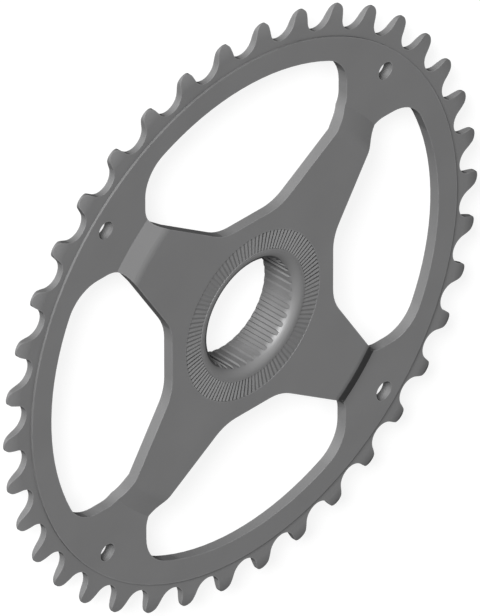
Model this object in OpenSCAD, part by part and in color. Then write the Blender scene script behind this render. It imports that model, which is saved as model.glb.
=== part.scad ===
// Dished chainring for a bicycle crank, one machined piece.
// The Z axis is the wheel's axis. Z = 0 is the rear face of the hub's collar and +Z points to the outer side.

/* [Teeth] */
// Number of teeth
teeth = 38; // [24:2:60]
// Chain pitch
chain_pitch = 12.7; // [12.7:0.1:12.7]
// Radius of the seat that a chain roller rests in
seat_r = 3.96; // [3.9:0.01:4.0]
// Radius of the rounded tooth top
top_r = 2.05; // [1.4:0.05:2.2]
// Height of the tooth top over the pitch circle
addendum = 2.5; // [2:0.05:2.8]
// Thickness of the toothed edge
tooth_t = 1.7; // [1.5:0.05:2.2]
// Radius of the curve that thins the teeth towards their tips
thinning_r = 13; // [10:0.5:20]
// Distance from the pitch circle inwards to where the thinning starts
thinning_depth = 1.5; // [0.5:0.1:2]
// Height of the teeth's middle plane over the collar's rear face
tooth_z = 7; // [6:0.1:9]

/* [Plate] */
// Thickness of the plate
plate_t = 2.8; // [2.4:0.1:4]
// Height of the rim's front face over the teeth's middle plane
rim_proud = 1.4; // [0.9:0.05:1.6]
// Distance from the pitch circle inwards to the step where the rim thins to the teeth
step_depth = 5.6; // [4.5:0.1:6.5]
// Height that the dish raises the centre over the rim
dish_rise = 2.2; // [1:0.1:4]
// Radius of the dish's upper edge on the front face
dish_top_r = 48.4; // [44:0.1:49]
// Width of the dish's slope, from its upper edge out to its foot
dish_width = 5.8; // [4:0.1:8]
// Rounding of the dish's upper edge
dish_edge_r = 5.6; // [1:0.1:8]

/* [Windows] */
// Number of windows, and of the arms between them
arms = 4; // [3:1:5]
// Distance from the axis to the straight inner side of a window
window_inner = 27; // [25:0.1:29]
// Radius of the window's outer side, about the axis
window_outer_r = 65; // [62:0.1:66]
// Half of a window's width where it is widest
window_half = 33.65; // [30:0.05:34]
// Angle between an arm's tapered side and the middle line of the window beside it
taper_angle = 57.5; // [55:0.5:60]
// Distance from the axis to the line of an arm's tapered side
taper_offset = 17.74; // [16:0.02:20]
// Corner radius between the inner side and the tapered side
inner_corner_r = 12.5; // [6:0.5:14]
// Corner radius where the arm is narrowest
waist_r = 6.8; // [3:0.1:9]
// Corner radius at the rim
rim_corner_r = 10.4; // [7:0.1:12]

/* [Holes] */
// Diameter of the circle through the middles of the small holes
hole_circle_d = 132; // [130:0.5:136]
// Diameter of three of the small holes
hole_d = 4.6; // [3:0.1:6]
// Diameter of the wider small hole
wide_hole_d = 5.1; // [3:0.1:6]

/* [Hub] */
// Outer radius of the collar behind the plate
collar_r = 18; // [17:0.1:19]
// Number of spline grooves
splines = 39; // [30:1:45]
// Radius across the tops of the splines
spline_minor_r = 14.13; // [13.5:0.01:14.6]
// Depth of a spline groove
spline_depth = 0.37; // [0.2:0.01:0.6]
// Width of a spline groove at half its depth
spline_width = 1.16; // [0.8:0.01:1.3]
// Angle of a spline groove's side to its middle plane
spline_angle = 33; // [20:1:45]
// Share of the grooves' depth that the chamfer on the bore's rear edge takes
rear_chamfer_share = 0.8; // [0.5:0.05:0.95]
// Rounding of the bore's front edge
mouth_r = 2.6; // [2:0.05:3.2]
// Number of serrations on the clamping face
serrations = 108; // [60:1:120]
// Width of the land between the rounded mouth and the serrations
serration_land = 0.67; // [0.2:0.01:0.8]
// Outer radius of the serrations
serration_outer_r = 22.45; // [21:0.05:24]
// Depth of the serrations' ridges below the hub's face
serration_sink = 0.1; // [0.05:0.01:0.3]
// Angle of a serration's side to the hub's face
serration_angle = 19; // [10:1:40]
// Share of the pitch that a serration's groove takes
serration_share = 0.9; // [0.7:0.01:0.92]

/* [Hidden] */
$fn = 180;
aluminium = [0.43, 0.43, 0.44];
past = 1;

pitch_r = chain_pitch / 2 / sin(180 / teeth);
tip_r = pitch_r + addendum;
thinning_start_r = pitch_r - thinning_depth;
step_r = pitch_r - step_depth;
rim_front_z = tooth_z + rim_proud;
rim_back_z = rim_front_z - plate_t;
hub_front_z = rim_front_z + dish_rise;
hub_back_z = hub_front_z - plate_t;
dish_foot_r = dish_top_r + dish_width;
dish_angle = atan(dish_rise / dish_width);
dish_back_shift = plate_t * tan(dish_angle / 2);
mouth_outer_r = spline_minor_r + mouth_r;
serration_inner_r = mouth_outer_r + serration_land;
spline_major_r = spline_minor_r + spline_depth;
rear_chamfer = spline_depth * rear_chamfer_share;
serration_overlap = 0.01;

// The unit vector at an angle
function unit(a) = [cos(a), sin(a)];

// The middle of a round corner inside two lines, each given by its outward normal's angle and its distance
function corner(a1, d1, a2, d2, r) =
    [(d1 - r) * sin(a2) - (d2 - r) * sin(a1), (d2 - r) * cos(a1) - (d1 - r) * cos(a2)] / sin(a2 - a1);

// A point turned over the X axis
function flip(p) = [p.x, -p.y];

// What is cut beside and over one tooth along +Y, down to the roller seats
module beside_tooth() {
    seat = pitch_r * [sin(180 / teeth), cos(180 / teeth)];
    top = [0, tip_r - top_r];
    between = seat - top;
    slope = atan2(between.y, between.x) + acos((top_r + seat_r) / norm(between));
    flank_top = top + top_r * unit(slope);
    flank_foot = seat - seat_r * unit(slope);
    reach = seat.x + seat_r / 2;
    difference() {
        polygon([
            [-reach, seat.y],
            [-flank_foot.x, flank_foot.y],
            [-flank_top.x, flank_top.y],
            top,
            flank_top,
            flank_foot,
            [reach, seat.y],
            [reach, tip_r + past],
            [-reach, tip_r + past]
        ]);
        translate(top) circle(r = top_r);
    }
}

// The whole outline seen along the axis, with a tooth on +X
module toothed_outline() {
    difference() {
        circle(r = tip_r + past);
        for (i = [0 : teeth - 1]) {
            rotate(i * 360 / teeth - 90) beside_tooth();
            rotate((i + 0.5) * 360 / teeth) translate([pitch_r, 0]) circle(r = seat_r);
        }
    }
}

// Half section of the toothed edge, thinned by an arc on each side
module tooth_section() {
    arc_z = thinning_r - tooth_t / 2;
    translate([step_r - past, tooth_z - tooth_t / 2]) square([thinning_start_r - step_r + past, tooth_t]);
    intersection() {
        translate([thinning_start_r - past, tooth_z - tooth_t / 2])
            square([tip_r - thinning_start_r + 2 * past, tooth_t]);
        translate([thinning_start_r, tooth_z - arc_z]) circle(r = thinning_r);
        translate([thinning_start_r, tooth_z + arc_z]) circle(r = thinning_r);
    }
}

// The dish's rounded upper edge: what is cut from the sharp corner of the half section
module dish_edge_section() {
    reach = dish_edge_r * tan(dish_angle / 2);
    difference() {
        polygon([
            [dish_top_r - reach, hub_front_z],
            [dish_top_r, hub_front_z + past],
            [dish_top_r + reach * cos(dish_angle), hub_front_z - reach * sin(dish_angle)]
        ]);
        translate([dish_top_r - reach, hub_front_z - dish_edge_r]) circle(r = dish_edge_r);
    }
}

// What is cut from the sharp front corner of the bore to round its mouth
module mouth_section() {
    difference() {
        translate([spline_minor_r - past, hub_front_z - mouth_r]) square(mouth_r + past);
        translate([mouth_outer_r, hub_front_z - mouth_r]) circle(r = mouth_r);
    }
}

// Half section of the plate and hub, from the bore to the step before the teeth
module plate_section() {
    difference() {
        polygon([
            [spline_minor_r, rear_chamfer],
            [spline_minor_r + rear_chamfer, 0],
            [collar_r, 0],
            [collar_r, hub_back_z],
            [dish_top_r - dish_back_shift, hub_back_z],
            [dish_foot_r - dish_back_shift, rim_back_z],
            [step_r, rim_back_z],
            [step_r, rim_front_z],
            [dish_foot_r, rim_front_z],
            [dish_top_r, hub_front_z],
            [spline_minor_r, hub_front_z]
        ]);
        dish_edge_section();
        mouth_section();
    }
}

// One window along +X, seen along the axis
module window_outline() {
    taper_normal = 90 + taper_angle;
    rim_reach = sqrt(pow(window_outer_r - rim_corner_r, 2) - pow(window_half - rim_corner_r, 2));
    inner = corner(180, -window_inner, taper_normal, -taper_offset, inner_corner_r);
    waist = corner(taper_normal, -taper_offset, 90, window_half, waist_r);
    outer = [rim_reach, window_half - rim_corner_r];
    rim_normal = atan2(outer.y, outer.x);
    side = [
        inner - [inner_corner_r, 0],
        inner + inner_corner_r * unit(taper_normal),
        waist + waist_r * unit(taper_normal),
        waist + [0, waist_r],
        outer + [0, rim_corner_r],
        window_outer_r * unit(rim_normal)
    ];
    polygon(concat(side, [for (i = [len(side) - 1 : -1 : 0]) flip(side[i])]));
    for (s = [-1, 1]) {
        translate([inner.x, s * inner.y]) circle(r = inner_corner_r);
        translate([waist.x, s * waist.y]) circle(r = waist_r);
        translate([outer.x, s * outer.y]) circle(r = rim_corner_r);
    }
    intersection() {
        circle(r = window_outer_r);
        polygon([
            outer,
            window_outer_r * unit(rim_normal),
            2 * window_outer_r * unit(rim_normal / 2),
            2 * window_outer_r * unit(-rim_normal / 2),
            window_outer_r * unit(-rim_normal),
            flip(outer)
        ]);
    }
}

// The spline's grooves, seen along the axis, with a groove on +Y
module spline_outline() {
    mid_r = spline_minor_r + spline_depth / 2;
    spread = tan(spline_angle);
    intersection() {
        circle(r = spline_major_r);
        for (i = [0 : splines - 1])
            rotate(90 + i * 360 / splines)
                polygon([
                    [mid_r - spline_depth, -spline_width / 2 - spline_depth * spread],
                    [mid_r + spline_depth, -spline_width / 2 + spline_depth * spread],
                    [mid_r + spline_depth, spline_width / 2 - spline_depth * spread],
                    [mid_r - spline_depth, spline_width / 2 + spline_depth * spread]
                ]);
    }
}

// One serration's groove along +X. Its sides meet the ridges' plane on lines through the axis.
module serration_groove() {
    half_groove = 180 / serrations * serration_share;
    fall = atan(tan(half_groove) * tan(serration_angle));
    from_r = serration_inner_r - past;
    long = serration_outer_r + past - from_r;
    half_w = (from_r + long) * tan(180 / serrations);
    deep = half_w * tan(serration_angle);
    intersection() {
        rotate([0, 90 + fall, 0])
            translate([0, 0, from_r])
                linear_extrude(long) polygon([[0, 0], [-deep, -half_w], [-deep, half_w]]);
        translate([0, -half_w, -past]) cube([from_r + 2 * long, 2 * half_w, past + serration_overlap]);
    }
}

// The recess in the hub's face, with its ring of radial grooves
module serrated_recess() {
    translate([0, 0, hub_front_z - serration_sink])
        intersection() {
            union() {
                cylinder(r = serration_outer_r + 2 * past, h = serration_sink + past);
                for (i = [0 : serrations - 1])
                    rotate(i * 360 / serrations) serration_groove();
            }
            difference() {
                translate([0, 0, -past]) cylinder(r = serration_outer_r, h = 3 * past);
                translate([0, 0, -2 * past]) cylinder(r = serration_inner_r, h = 5 * past);
            }
        }
}

// The small holes on the arms' middle lines. The last one is the wider.
module small_holes() {
    for (i = [0 : arms - 1])
        rotate((i + 0.5) * 360 / arms)
            translate([hole_circle_d / 2, 0, rim_back_z - past])
                cylinder(d = i == arms - 1 ? wide_hole_d : hole_d, h = plate_t + 2 * past);
}

module chainring() {
    color(aluminium)
        difference() {
            intersection() {
                rotate_extrude() {
                    plate_section();
                    tooth_section();
                }
                translate([0, 0, -past]) linear_extrude(hub_front_z + 2 * past) toothed_outline();
            }
            for (i = [0 : arms - 1])
                rotate(i * 360 / arms)
                    translate([0, 0, rim_back_z - past])
                        linear_extrude(hub_front_z - rim_back_z + 2 * past) window_outline();
            translate([0, 0, -past]) linear_extrude(hub_front_z + 2 * past) spline_outline();
            serrated_recess();
            small_holes();
        }
}

chainring();
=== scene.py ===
import math

import bpy
from mathutils import Matrix, Vector

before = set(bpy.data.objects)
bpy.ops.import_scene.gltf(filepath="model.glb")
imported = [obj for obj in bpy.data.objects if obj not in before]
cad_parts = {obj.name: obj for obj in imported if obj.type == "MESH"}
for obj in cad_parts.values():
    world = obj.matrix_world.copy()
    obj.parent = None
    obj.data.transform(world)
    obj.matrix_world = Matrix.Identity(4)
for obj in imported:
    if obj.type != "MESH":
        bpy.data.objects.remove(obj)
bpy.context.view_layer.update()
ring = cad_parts["chainring"]

# Lengths are in metres, angles in degrees, and colours are linear.

# The picture is an exact isometric view of the ring. In it the wheel's X axis runs 30 degrees up to the
# right, and its Y axis straight up. The aim is the pixel where the middle of the tooth plane is put, 0.7
# pixels from its place there, so that the lens's last bit of perspective is off alike at hub and rim.
PHOTO_WIDTH = 480
PHOTO_HEIGHT = 616
PIXELS_PER_METRE = 4211.8
AIM_X = 242.34
AIM_Y = 309.3
TOOTH_PLANE = 0.007
LENS = 1200.0
SENSOR = 36.0
CLIP_NEAR = 0.5
CLIP_FAR = 20

METAL_DARK = (0.150, 0.150, 0.151, 1)
METAL_PALE = (0.158, 0.158, 0.159, 1)
# Paler colour of the outer edges: partly wear, partly a painted highlight of rounded edges catching the
# light.
METAL_WORN_AND_HIGHLIT = (0.205, 0.205, 0.207, 1)
METAL_SHARE = 0.5
ROUGH_LEAST = 0.52
ROUGH_MOST = 0.60
RUBBED_SMOOTHER = 0.1
EDGE_REACH = 0.0004
GRAIN_DEPTH = 0.00003
GRAIN_STRENGTH = 0.12

# How fine the noises are, in cells per metre.
CLOUD_SCALE = 70
PATCH_SCALE = 260
GRAIN_SCALE = 5200

FLOOR_SIDE = 12.0
FLOOR_DROP = 0.00002
FLOOR_GREY = (0.3, 0.3, 0.3, 1)
FLOOR_SHADED = (0.2, 0.2, 0.2, 1)
FLOOR_GLOW = 0.86
WORLD_WHITE = (1, 1, 1, 1)
WORLD_LIGHT = 0.04


def node(tree, kind, **settings):
    made = tree.nodes.new(kind)
    for key, value in settings.items():
        setattr(made, key, value)
    return made


def calculate(tree, operation, a, b):
    """A Math node. Each of a and b is a number or another node's output."""
    made = node(tree, "ShaderNodeMath", operation=operation)
    for socket, value in zip(made.inputs, (a, b)):
        if isinstance(value, (int, float)):
            socket.default_value = value
        else:
            tree.links.new(value, socket)
    return made.outputs[0]


def noise(tree, place, scale, detail):
    made = node(tree, "ShaderNodeTexNoise")
    made.inputs["Scale"].default_value = scale
    made.inputs["Detail"].default_value = detail
    tree.links.new(place, made.inputs["Vector"])
    return made.outputs["Fac"]


def remap(tree, value, low, high, to_low=0.0, to_high=1.0):
    """Takes value from the range low to high onto the range to_low to to_high, and holds it there."""
    made = node(tree, "ShaderNodeMapRange")
    limits = {"From Min": low, "From Max": high, "To Min": to_low, "To Max": to_high}
    for name, number in limits.items():
        made.inputs[name].default_value = number
    tree.links.new(value, made.inputs["Value"])
    return made.outputs["Result"]


def blend_colours(tree, share, plain, other):
    """A colour Mix node. Each of plain and other is a colour or another node's output."""
    made = node(tree, "ShaderNodeMix", data_type="RGBA")
    tree.links.new(share, made.inputs[0])
    for socket, value in ((made.inputs[6], plain), (made.inputs[7], other)):
        if isinstance(value, tuple):
            socket.default_value = value
        else:
            tree.links.new(value, socket)
    return made.outputs[2]


def edge_wear_and_highlight(tree, place):
    """1 on the outer edges of the metal and 0 away from them, broken up into patches: the mask both for
    edge wear and for a painted highlight where rounded edges would catch the light.
    """
    inside = node(tree, "ShaderNodeAmbientOcclusion", samples=8, inside=True, only_local=True)
    inside.inputs["Distance"].default_value = EDGE_REACH
    near_edge = remap(tree, inside.outputs["AO"], 0.9, 0.55)
    patches = remap(tree, noise(tree, place, PATCH_SCALE, 3), 0.35, 0.65, to_low=0.25)
    return calculate(tree, "MULTIPLY", near_edge, patches)


def bead_blasted_aluminium():
    """Grey anodised aluminium: a fine grain, slow clouds of tone and gloss, and paler, smoother edges,
    which are partly wear and partly a painted highlight of edges catching the light.
    """
    material = bpy.data.materials.new("aluminium_satin")
    material.use_nodes = True
    tree = material.node_tree
    shader = tree.nodes["Principled BSDF"]
    place = node(tree, "ShaderNodeTexCoord").outputs["Object"]
    clouds = remap(tree, noise(tree, place, CLOUD_SCALE, 4), 0.3, 0.7)
    wear_and_highlight = edge_wear_and_highlight(tree, place)

    tone = blend_colours(tree, clouds, METAL_DARK, METAL_PALE)
    # Painted highlight: the outer edges are paler, partly as wear and partly as light caught by rounded
    # edges.
    worn_and_highlit_tone = blend_colours(tree, wear_and_highlight, tone, METAL_WORN_AND_HIGHLIT)
    tree.links.new(worn_and_highlit_tone, shader.inputs["Base Color"])

    roughness = remap(tree, clouds, 0.0, 1.0, to_low=ROUGH_LEAST, to_high=ROUGH_MOST)
    rubbed = calculate(tree, "MULTIPLY", wear_and_highlight, RUBBED_SMOOTHER)
    tree.links.new(calculate(tree, "SUBTRACT", roughness, rubbed), shader.inputs["Roughness"])

    bump = node(tree, "ShaderNodeBump")
    bump.inputs["Strength"].default_value = GRAIN_STRENGTH
    bump.inputs["Distance"].default_value = GRAIN_DEPTH
    tree.links.new(noise(tree, place, GRAIN_SCALE, 3), bump.inputs["Height"])
    tree.links.new(bump.outputs["Normal"], shader.inputs["Normal"])

    shader.inputs["Metallic"].default_value = METAL_SHARE
    shader.inputs["Specular IOR Level"].default_value = 0.0
    shader.inputs["Specular Tint"].default_value = (0, 0, 0, 1)
    return material


def seen_as_backdrop(tree):
    """1 for rays from the camera and for those that metal or glass sends on, and 0 for all others."""
    path = node(tree, "ShaderNodeLightPath")
    seen = calculate(tree, "MAXIMUM", path.outputs["Is Camera Ray"], path.outputs["Is Glossy Ray"])
    return calculate(tree, "MAXIMUM", seen, path.outputs["Is Transmission Ray"])


def pale_floor():
    """White where it is seen or reflected, save for the ring's shadow, and matt grey for other light."""
    material = bpy.data.materials.new("floor_pale")
    material.use_nodes = True
    tree = material.node_tree
    tree.nodes.clear()
    grey = node(tree, "ShaderNodeBsdfDiffuse")
    grey.inputs["Color"].default_value = FLOOR_GREY
    shade = node(tree, "ShaderNodeBsdfDiffuse")
    shade.inputs["Color"].default_value = FLOOR_SHADED
    glow = node(tree, "ShaderNodeEmission")
    glow.inputs["Strength"].default_value = FLOOR_GLOW
    white = node(tree, "ShaderNodeAddShader")
    tree.links.new(shade.outputs[0], white.inputs[0])
    tree.links.new(glow.outputs[0], white.inputs[1])
    mix = node(tree, "ShaderNodeMixShader")
    tree.links.new(seen_as_backdrop(tree), mix.inputs["Fac"])
    tree.links.new(grey.outputs[0], mix.inputs[1])
    tree.links.new(white.outputs[0], mix.inputs[2])
    surface = node(tree, "ShaderNodeOutputMaterial").inputs["Surface"]
    tree.links.new(mix.outputs[0], surface)
    return material


def add_floor():
    """A plain level floor, a hair under the ring so that the two faces don't lie in one plane."""
    half = FLOOR_SIDE / 2
    corners = [(-half, -half, 0), (half, -half, 0), (half, half, 0), (-half, half, 0)]
    mesh = bpy.data.meshes.new("floor")
    mesh.from_pydata(corners, [], [(0, 1, 2, 3)])
    mesh.materials.append(pale_floor())
    floor = bpy.data.objects.new("floor", mesh)
    floor.location.z = -FLOOR_DROP
    bpy.context.scene.collection.objects.link(floor)


def add_sun(name, azimuth, elevation, strength, spread):
    """A soft distant lamp. Azimuth is the direction it stands in, counted from +X towards +Y."""
    data = bpy.data.lights.new(name, "SUN")
    data.energy = strength
    data.angle = math.radians(spread)
    a = math.radians(azimuth)
    e = math.radians(elevation)
    towards = Vector((math.cos(a) * math.cos(e), math.sin(a) * math.cos(e), math.sin(e)))
    lamp = bpy.data.objects.new(name, data)
    lamp.rotation_mode = "QUATERNION"
    lamp.rotation_quaternion = towards.to_track_quat("Z", "Y")
    bpy.context.scene.collection.objects.link(lamp)


def add_world():
    """White where it is seen or reflected, and next to no light of its own."""
    world = bpy.data.worlds.new("studio")
    world.use_nodes = True
    bpy.context.scene.world = world
    tree = world.node_tree
    strength = remap(tree, seen_as_backdrop(tree), 0.0, 1.0, to_low=WORLD_LIGHT)
    backdrop = tree.nodes["Background"]
    backdrop.inputs["Color"].default_value = WORLD_WHITE
    tree.links.new(strength, backdrop.inputs["Strength"])


def add_camera():
    """A long lens on the picture's line of sight, so far off that the view is all but parallel."""
    right = Vector((1, 0, 1)).normalized()
    up = Vector((1, 2, -1)).normalized()
    behind = Vector((-1, 1, 1)).normalized()
    across = (AIM_X - PHOTO_WIDTH / 2) / PIXELS_PER_METRE
    down = (AIM_Y - PHOTO_HEIGHT / 2) / PIXELS_PER_METRE
    middle = Vector((0, 0, TOOTH_PLANE)) - right * across + up * down
    distance = LENS / SENSOR * PHOTO_HEIGHT / PIXELS_PER_METRE

    data = bpy.data.cameras.new("camera")
    data.lens = LENS
    data.sensor_width = SENSOR
    data.clip_start = CLIP_NEAR
    data.clip_end = CLIP_FAR
    camera = bpy.data.objects.new("camera", data)
    camera.matrix_world = Matrix((right, up, behind)).transposed().to_4x4()
    camera.location = middle + behind * distance
    bpy.context.scene.collection.objects.link(camera)
    bpy.context.scene.camera = camera


ring.data.materials.clear()
ring.data.materials.append(bead_blasted_aluminium())
add_floor()
add_sun("key", azimuth=135, elevation=22, strength=7.7, spread=20)
add_sun("overhead", azimuth=135, elevation=88, strength=0.45, spread=50)
add_world()
add_camera()
bpy.context.scene.view_settings.view_transform = "Standard"
